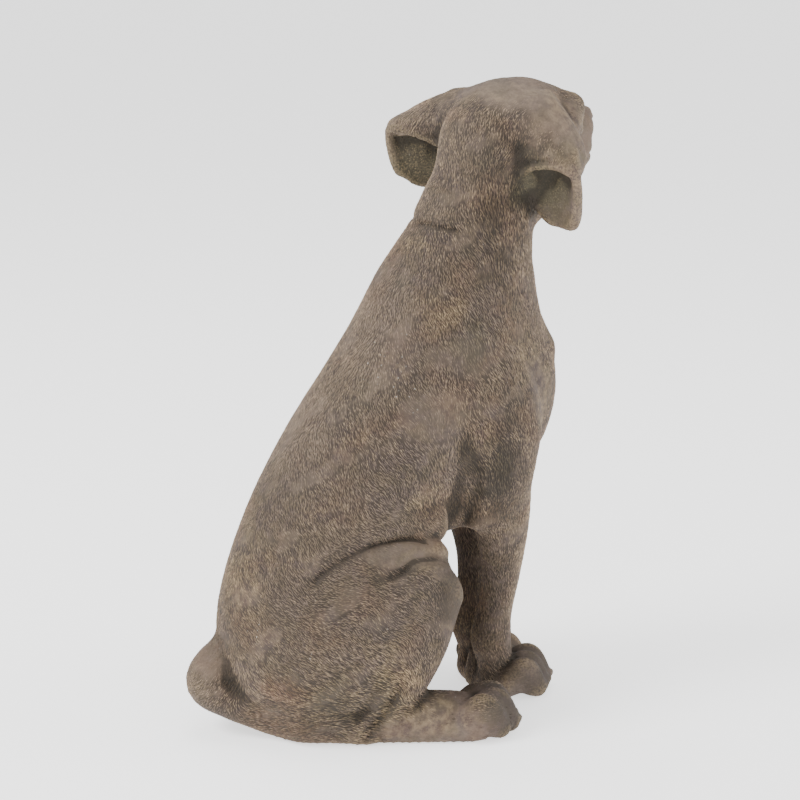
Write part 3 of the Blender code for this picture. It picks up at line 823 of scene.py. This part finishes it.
def coat(name, skin, tree, zone, spacing, seed):
    """One stretch of the coat, as a plain mesh."""
    ob = show(name, skin.data)
    mod = ob.modifiers.new("coat", "NODES")
    mod.node_group = tree
    wanted = {"Zone": zone, "Spacing": spacing, "Seed": seed}
    for item in tree.interface.items_tree:
        if item.in_out == "INPUT" and item.name in wanted:
            mod[item.identifier] = wanted[item.name]
    bpy.context.view_layer.update()
    mesh = flat_mesh(ob)
    ob.modifiers.clear()
    ob.data = mesh
    mesh.name = name
    lay_out(mesh)
    return ob


def lay_out(mesh):
    """A map for the bake: a cell of a square grid for each lock, its top on the left, its underside next."""
    corners = np.empty(len(mesh.loops), np.int32)
    mesh.loops.foreach_get("vertex_index", corners)
    lock, corner = np.divmod(corners, len(LOCK_CORNERS))
    under = np.repeat(np.arange(len(mesh.polygons)) % (TOP_FACES + UNDER_FACES) >= TOP_FACES, 3)
    across = math.ceil(math.sqrt(len(mesh.vertices) / len(LOCK_CORNERS)))
    cell = np.stack([lock % across, lock // across], 1)
    spots = np.where(under[:, None], np.array(UNDER_MAP)[corner], np.array(TOP_MAP)[corner])
    places = ((cell + spots) / across).astype(np.float32)
    mesh.uv_layers.new(name="OFBake").data.foreach_set("uv", places.ravel())


def colour(r, g, b):
    """An sRGB colour, 0 to 255, as linear values."""
    out = [((c / 255 + 0.055) / 1.055) ** 2.4 if c > 10 else c / 255 / 12.92 for c in (r, g, b)]
    return (*out, 1.0)


GREY_BROWN = colour(114, 99, 83)
WARM_TAN = colour(174, 151, 114)
COLD_MAUVE = colour(104, 90, 84)
GROOVE = colour(33, 28, 21)
OLIVE = colour(84, 79, 60)
EARTH = colour(120, 92, 74)
RUST = colour(140, 92, 62)
MOSS = colour(72, 72, 58)
PALE_BROWN = colour(146, 127, 110)
CHALK = colour(215, 210, 200)
BARE_STONE = 0.69  # brightness of the smooth stone against the coat's

# Middles of some patches, picked in the photo: pixels from its left and from its top.
NAPE_TAN = (420, 245)
SHOULDER_TAN = (440, 310)
FLANK_TAN = (425, 500)
HAUNCH_FLECKS = (310, 645)
RUMP_FLECKS = (255, 635)
KNEE_FLECKS = (432, 607)

# Patches of each colour: centre, metres in the row frame or a place in the photo, and reach in metres.
TAN_PATCHES = [
    (NAPE_TAN, (0.034, 0.03, 0.010)),
    (SHOULDER_TAN, (0.034, 0.034, 0.028)),
    (FLANK_TAN, (0.034, 0.026, 0.020)),
    ((-0.026, 0.192, 0.180), (0.05, 0.03, 0.07)),
    ((-0.11, 0.05, 0.08), (0.05, 0.05, 0.04)),
    ((-0.12, 0.03, 0.03), (0.05, 0.06, 0.022)),
    ((-0.07, -0.12, 0.39), (0.04, 0.04, 0.03)),
    ((-0.06, -0.13, 0.34), (0.04, 0.03, 0.04)),
    ((-0.05, -0.15, 0.628), (0.05, 0.05, 0.05)),
    ((-0.016, -0.078, 0.64), (0.035, 0.035, 0.025)),
    # Painted light: the near foreleg's front, lighter where the light falls on it.
    ((-0.05, -0.115, 0.17), (0.035, 0.022, 0.11)),
]
PALE_PATCHES = [
    # Painted light: the near foreleg's front, lighter where the light falls on it.
    ((-0.048, -0.122, 0.15), (0.04, 0.03, 0.11)),
    ((-0.025, 0.05, 0.425), (0.06, 0.05, 0.08)),
    ((-0.03, -0.11, 0.66), (0.06, 0.06, 0.03)),
    ((-0.077, -0.125, 0.628), (0.03, 0.04, 0.03)),
    ((-0.01, 0.13, 0.33), (0.06, 0.05, 0.07)),
    ((0.065, -0.035, 0.625), (0.04, 0.04, 0.022)),
    ((-0.02, 0.235, 0.06), (0.05, 0.03, 0.03)),
]
MOSS_PATCHES = [
    ((-0.084, -0.062, 0.285), (0.04, 0.022, 0.045)),
    ((-0.075, -0.045, 0.42), (0.03, 0.025, 0.03)),
    ((-0.10, 0.11, 0.055), (0.05, 0.06, 0.045)),
]
# Painted shade: darker patches where shade falls, under the head and down the neck, on the upper arm and
# knee, and at the toes.
SHADE_PATCHES = [
    ((-0.12, -0.065, 0.03), (0.05, 0.035, 0.045)),
    ((-0.03, -0.14, 0.025), (0.06, 0.05, 0.045)),
    ((-0.065, -0.075, 0.54), (0.03, 0.035, 0.08)),
    ((-0.118, -0.012, 0.155), (0.04, 0.035, 0.06)),
    ((-0.084, -0.072, 0.285), (0.04, 0.032, 0.07)),
    ((-0.055, -0.115, 0.60), (0.03, 0.03, 0.05)),
    ((-0.045, -0.112, 0.568), (0.025, 0.02, 0.025)),
]
CHALK_PATCHES = [
    ((-0.06, 0.04, 0.39), (0.05, 0.03, 0.06)),
    (HAUNCH_FLECKS, (0.03, 0.014, 0.022)),
    (RUMP_FLECKS, (0.03, 0.008, 0.02)),
    (KNEE_FLECKS, (0.02, 0.006, 0.012)),
]
RUST_PATCH = ((-0.082, 0.172, 0.067), (0.036, 0.028, 0.018))
OLIVE_PATCHES = [
    ((-0.056, -0.134, 0.574), (0.044, 0.042, 0.045)),
    ((0.074, -0.044, 0.574), (0.05, 0.05, 0.046)),
]
PATCH_CORE, PATCH_RIM, PATCH_RAGGED = 0.3, 1.25, 1.6  # full within, gone beyond, how ragged

# The stone's noises: scale, detail and roughness, the mottles from broad to fine.
MOTTLES = ((9.0, 3.0, 0.55), (38.0, 4.0, 0.55), (120.0, 4.0, 0.65), (420.0, 3.0, 0.7))
EARTH_CLOUDS = (17.0, 3.0, 0.6)
MOSS_CLOUDS = (23.0, 3.0, 0.6)
EAR_CRUMBS = (520.0, 2.0, 0.6)
SPECK_SCALE = 190.0
# How strongly each colour lies over those before it.
EARTH_SHARE, RUBBED_AND_LIT_SHARE, PALE_SHARE, MOSS_SHARE = 0.35, 0.4, 0.5, 0.35
RUST_SHARE, SHADE_SHARE, OLIVE_SHARE = 0.22, 0.58, 0.8

STONE_SHEEN = 0.35
BUMP_SHARE, BUMP_HEIGHT = 0.35, 0.0006
FORM_ROUNDS = 30  # of easing, to measure how far the form stands out
HOLLOW, STANDS_OUT = (-1.3, -0.15), (1.1, 2.6)  # millimetres over which it is shaded, rubbed
BARE_SOLE = 0.004  # no locks below this height
STRETCHES = ("coat_feet", "coat_haunches", "coat_flanks", "coat_chest", "coat_neck_and_head")


def photo_view():
    """Where the photo's camera stands and how it is turned."""
    eye = VIEW_TARGET + VIEW_BACK * VIEW_DISTANCE
    eye.z = VIEW_HEIGHT
    return eye, (VIEW_TARGET - eye).to_track_quat("-Z", "Y")


def seen_at(surface, pixel):
    """The point of the skin that the photo shows at a pixel, in the row frame."""
    eye, turned = photo_view()
    across, down = pixel
    middle, size = PHOTO_PIXELS / 2, SENSOR_WIDTH / PHOTO_PIXELS
    ray = Vector(((across - middle) * size, (middle - down) * size, -VIEW_LENS))
    return surface.ray_cast(eye, turned @ ray.normalized())[0]


def weathering_and_painted_light(surface):
    """The cast stone's colour: mottled, tan patches, olive hollows, moss, rust and chalk, with painted shade
    in some dark patches and painted light on the near foreleg's front.
    """
    outputs = {"Colour": "Color", "Ridge": "Color", "Roughness": "Float", "Grain": "Float", "Depth": "Float"}
    tree, s, _, end = group("weathering_and_painted_light", "ShaderNodeTree", {}, outputs)
    where = s.put("ShaderNodeTexCoord").outputs["Object"]
    broad, middle, small, fine = (s.noise(where, *mottle) for mottle in MOTTLES)

    def patch(centre, reach):
        place = centre if len(centre) == 3 else seen_at(surface, centre)
        near = s.vectors("SUBTRACT", where, place).outputs[0]
        far = s.vectors("LENGTH", s.vectors("DIVIDE", near, reach).outputs[0]).outputs["Value"]
        ragged = s.plus(far, s.times(s.maths("SUBTRACT", middle, 0.5), PATCH_RAGGED))
        return s.rest_of(s.ramp(ragged, PATCH_CORE, PATCH_RIM))

    def together(patches):
        return s.most(*(patch(*one) for one in patches))

    tan = s.ramp(s.plus(s.times(broad, 0.5), s.times(middle, 0.5)), 0.44, 0.62)
    tan = s.most(s.times(tan, 0.7), together(TAN_PATCHES))
    base = s.mix(s.ramp(s.plus(middle, s.times(small, 0.5)), 0.6, 0.9), GREY_BROWN, COLD_MAUVE)
    earthy = s.ramp(s.noise(where, *EARTH_CLOUDS), 0.48, 0.66)
    base = s.mix(s.times(earthy, EARTH_SHARE), base, EARTH)
    # Rubbed tan and pale patches; on the near foreleg's front both are painted light.
    base = s.mix(s.times(tan, s.ramp(small, 0.4, 0.62), RUBBED_AND_LIT_SHARE), base, WARM_TAN)
    base = s.mix(s.times(together(PALE_PATCHES), PALE_SHARE), base, PALE_BROWN)
    mossy = s.times(s.ramp(s.noise(where, *MOSS_CLOUDS), 0.55, 0.7), 0.6)
    base = s.mix(s.times(s.most(mossy, together(MOSS_PATCHES)), MOSS_SHARE), base, MOSS)
    base = s.mix(s.times(patch(*RUST_PATCH), RUST_SHARE), base, RUST)
    # Painted shade from the shade patches, which also eases the tan rubbed onto the ridges there.
    painted_shade = together(SHADE_PATCHES)
    base = s.mix(s.times(painted_shade, SHADE_SHARE), base, GROOVE)
    base = ear_hollows(s, where, *(patch(*one) for one in OLIVE_PATCHES), base)
    base = specks(s, where, together(CHALK_PATCHES), base)
    mottle = s.plus(s.times(fine, 0.45), s.times(small, 0.55))
    stone = s.brightened(base, s.spread(mottle, 0.72, 1.3, 0.3, 0.7))
    # Ridges rubbed tan, more in the tan patches, which carry painted light on the near foreleg, and less
    # under the painted shade.
    rubbed_and_lit = s.times(s.plus(0.5, s.times(tan, 0.5)), s.rest_of(s.times(painted_shade, 0.7)))
    depth = s.ramp(s.plus(s.times(middle, 0.6), s.times(small, 0.4)), 0.4, 0.6)
    for name, value in (("Colour", stone), ("Ridge", s.mix(rubbed_and_lit, stone, WARM_TAN)),
                        ("Roughness", s.spread(middle, 0.66, 0.9)), ("Grain", fine), ("Depth", depth)):
        s.feed(end.inputs[name], value)
    return tree


def ear_hollows(s, where, right, left, base):
    """Olive inside both ears, crumbly in the left one and less so in the right."""
    base = s.mix(s.times(s.most(right, left), OLIVE_SHARE), base, OLIVE)
    speckled = s.most(left, s.times(right, 0.55))
    crumbs = s.noise(where, *EAR_CRUMBS)
    base = s.mix(s.times(speckled, 0.6, s.ramp(crumbs, 0.5, 0.75)), base, WARM_TAN)
    return s.mix(s.times(speckled, 0.5, s.ramp(crumbs, 0.48, 0.3)), base, GROOVE)


def specks(s, where, chalky, base):
    """Rare white specks, more in the chalky patches, and rare dark pits."""
    cells = s.put("ShaderNodeTexVoronoi", {"Scale": SPECK_SCALE, "Randomness": 1.0, "Vector": where})
    dots = s.rest_of(s.ramp(cells.outputs["Distance"], 0.08, 0.2))
    chosen = s.put("ShaderNodeSeparateColor", {"Color": cells.outputs["Color"]})
    for lot, more, tone in ((0, 0.35, CHALK), (1, 0.0, GROOVE)):
        rare = s.ramp(s.plus(chosen.outputs[lot], s.times(chalky, more)), 0.95, 1.0)
        share = s.plus(0.75 - 1.5 * more, s.times(chalky, 1.5 * more))
        base = s.mix(s.times(dots, rare, share), base, tone)
    return base


def material(name):
    mat = bpy.data.materials.new(name)
    mat.use_nodes = True
    return mat, mat.node_tree.nodes["Principled BSDF"]


def stone_finish(name, tree, build):
    mat, shader = material(name)
    s = Nodes(mat.node_tree)
    weather_and_light = s.put("ShaderNodeGroup", node_tree=tree)
    tone, height = build(s, weather_and_light)
    bump = s.put("ShaderNodeBump", {"Strength": BUMP_SHARE, "Distance": BUMP_HEIGHT, "Height": height})
    for socket, value in (("Base Color", tone), ("Roughness", weather_and_light.outputs["Roughness"]),
                          ("Specular IOR Level", STONE_SHEEN), ("Normal", bump.outputs["Normal"])):
        s.feed(shader.inputs[socket], value)
    return mat


def form_shade_and_wear(s, tone, weather_and_light):
    """Painted shade, dark in the hollows of the form, and rubbed tan wear where it stands out."""
    form = s.attribute("form")
    # Painted shade: the hollows of the form are darkened towards the groove colour, where shade falls.
    hollow = s.rest_of(s.ramp(form, *HOLLOW))
    tone = s.mix(s.times(hollow, 0.7), tone, GROOVE)
    worn = s.times(s.ramp(form, *STANDS_OUT), s.ramp(weather_and_light.outputs["Grain"], 0.4, 0.6))
    return s.mix(s.times(worn, 0.25), tone, WARM_TAN)


def coat_finish(s, weather_and_light):
    """Dark in the grooves, the stone's own colour up the sides, rubbed tan along some crests."""
    relief, tint, depth = s.attribute("relief"), s.attribute("tint"), s.attribute("depth")
    cut = s.most(s.times(weather_and_light.outputs["Depth"], 0.65), depth)
    groove = s.mix(s.plus(0.35, s.times(cut, 0.65)), weather_and_light.outputs["Colour"], GROOVE)
    tone = s.mix(s.ramp(relief, 0.02, 0.5), groove, weather_and_light.outputs["Colour"])
    crest = s.times(s.ramp(relief, 0.4, 0.9), s.ramp(tint, 0.45, 0.95))
    crest = s.times(crest, s.plus(0.55, s.times(cut, 0.45)))
    tone = s.brightened(s.mix(crest, tone, weather_and_light.outputs["Ridge"]), s.spread(tint, 0.78, 1.24))
    tone = s.mix(s.ramp(s.attribute("cover"), 0.05, 0.75), bare(s, weather_and_light), tone)
    return form_shade_and_wear(s, tone, weather_and_light), weather_and_light.outputs["Grain"]


def bare(s, weather_and_light):
    """The smooth stone, a little darker than the rubbed coat."""
    return s.brightened(weather_and_light.outputs["Colour"], BARE_STONE)


def skin_finish(s, weather_and_light):
    """Smooth stone where the locks stop, darkened between them where they stand."""
    between = s.mix(0.8, weather_and_light.outputs["Colour"], GROOVE)
    tone = s.mix(s.ramp(s.attribute("cover"), 0.25, 0.9), bare(s, weather_and_light), between)
    return form_shade_and_wear(s, tone, weather_and_light), weather_and_light.outputs["Grain"]


def mark(mesh):
    """Writes on the skin what the coat and the finish read from it."""
    points, normals = vertex_rows(mesh, "co"), vertex_rows(mesh, "normal")
    form = standing(mesh, points, normals, FORM_ROUNDS)
    for centre, reach, much in EASED:
        form *= 1 - much * np.clip(EASED_CORE * spot(to_sculpt(points), centre, reach), 0, 1)
    cover = coat_cover(points) * (points[:, 2] > BARE_SOLE)
    for name, kind, values in (("up", "FLOAT_VECTOR", normals), ("form", "FLOAT", form),
                               ("flow", "FLOAT_VECTOR", lie_of_coat(points, normals)),
                               ("cover", "FLOAT", cover), ("depth", "FLOAT", coat_depth(points))):
        put_attribute(mesh, name, kind, values)
    share_out(mesh, np.sort(points[cover > 0.5, 2]))


def share_out(mesh, heights):
    """Numbers the faces by stretch of coat, each with as much coat as the next."""
    edges = heights[(np.arange(1, len(STRETCHES)) * len(heights) / len(STRETCHES)).astype(int)]
    centres = np.empty(len(mesh.polygons) * 3)
    mesh.polygons.foreach_get("center", centres)
    zones = mesh.attributes.new("zone", "INT", "FACE")
    zones.data.foreach_set("value", np.searchsorted(edges, centres.reshape(-1, 3)[:, 2]).astype(np.int32))


def surface_of(mesh):
    bm = bmesh.new()
    bm.from_mesh(mesh)
    surface = BVHTree.FromBMesh(bm)
    bm.free()
    return surface


skin = drawn_skin(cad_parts["dog_statue"], sculpt())
mark(skin.data)
weather_and_light = weathering_and_painted_light(surface_of(skin.data))
skin.data.materials.clear()
skin.data.materials.append(stone_finish("bare_stone", weather_and_light, skin_finish))

lock = lock_shape()
tree = coat_tree(lock, stone_finish("carved_coat", weather_and_light, coat_finish))
pieces = [coat(name, skin, tree, i, COAT_SPACING, 100 * (i + 1)) for i, name in enumerate(STRETCHES)]
bpy.data.objects.remove(lock)

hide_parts("dog_statue")
for piece in [skin] + pieces:
    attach(piece, "root")


def floor():
    mesh = bpy.data.meshes.new("floor")
    corners = [(x * FLOOR_SIZE, y * FLOOR_SIZE, 0) for x, y in ((-1, -1), (1, -1), (1, 1), (-1, 1))]
    mesh.from_pydata(corners, [], [(0, 1, 2, 3)])
    ob = show("floor", mesh)
    mat, shader = material("white_floor")
    for name, value in (("Base Color", (FLOOR_TONE,) * 3 + (1,)), ("Roughness", 0.9),
                        ("Emission Color", (1, 1, 1, 1)), ("Emission Strength", FLOOR_GLOW)):
        shader.inputs[name].default_value = value
    mesh.materials.append(mat)


def from_camera(right, up, back):
    """A place given from the target in the camera's directions, metres."""
    across = Vector((0, 0, 1)).cross(VIEW_BACK)
    return VIEW_TARGET + across * right + VIEW_BACK * back + Vector((0, 0, up))


def soft_light(name, place, size, power):
    """A round soft light aimed at the camera's target."""
    data = bpy.data.lights.new(name, "AREA")
    data.shape = "DISK"
    data.size = size
    data.energy = power
    light = show(name, data)
    light.location = from_camera(*place)
    light.rotation_euler = (light.location - VIEW_TARGET).to_track_quat("Z", "Y").to_euler()


def room():
    world = bpy.data.worlds.new("studio")
    world.use_nodes = True
    background = world.node_tree.nodes["Background"]
    background.inputs["Color"].default_value = (1, 1, 1, 1)
    background.inputs["Strength"].default_value = ROOM_LIGHT
    bpy.context.scene.world = world


def photo_camera():
    camera = show("camera", bpy.data.cameras.new("camera"))
    camera.data.lens = VIEW_LENS
    camera.data.sensor_width = SENSOR_WIDTH
    camera.location, turned = photo_view()
    camera.rotation_euler = turned.to_euler()
    bpy.context.scene.camera = camera


floor()
for light in LIGHTS:
    soft_light(*light)
room()
photo_camera()
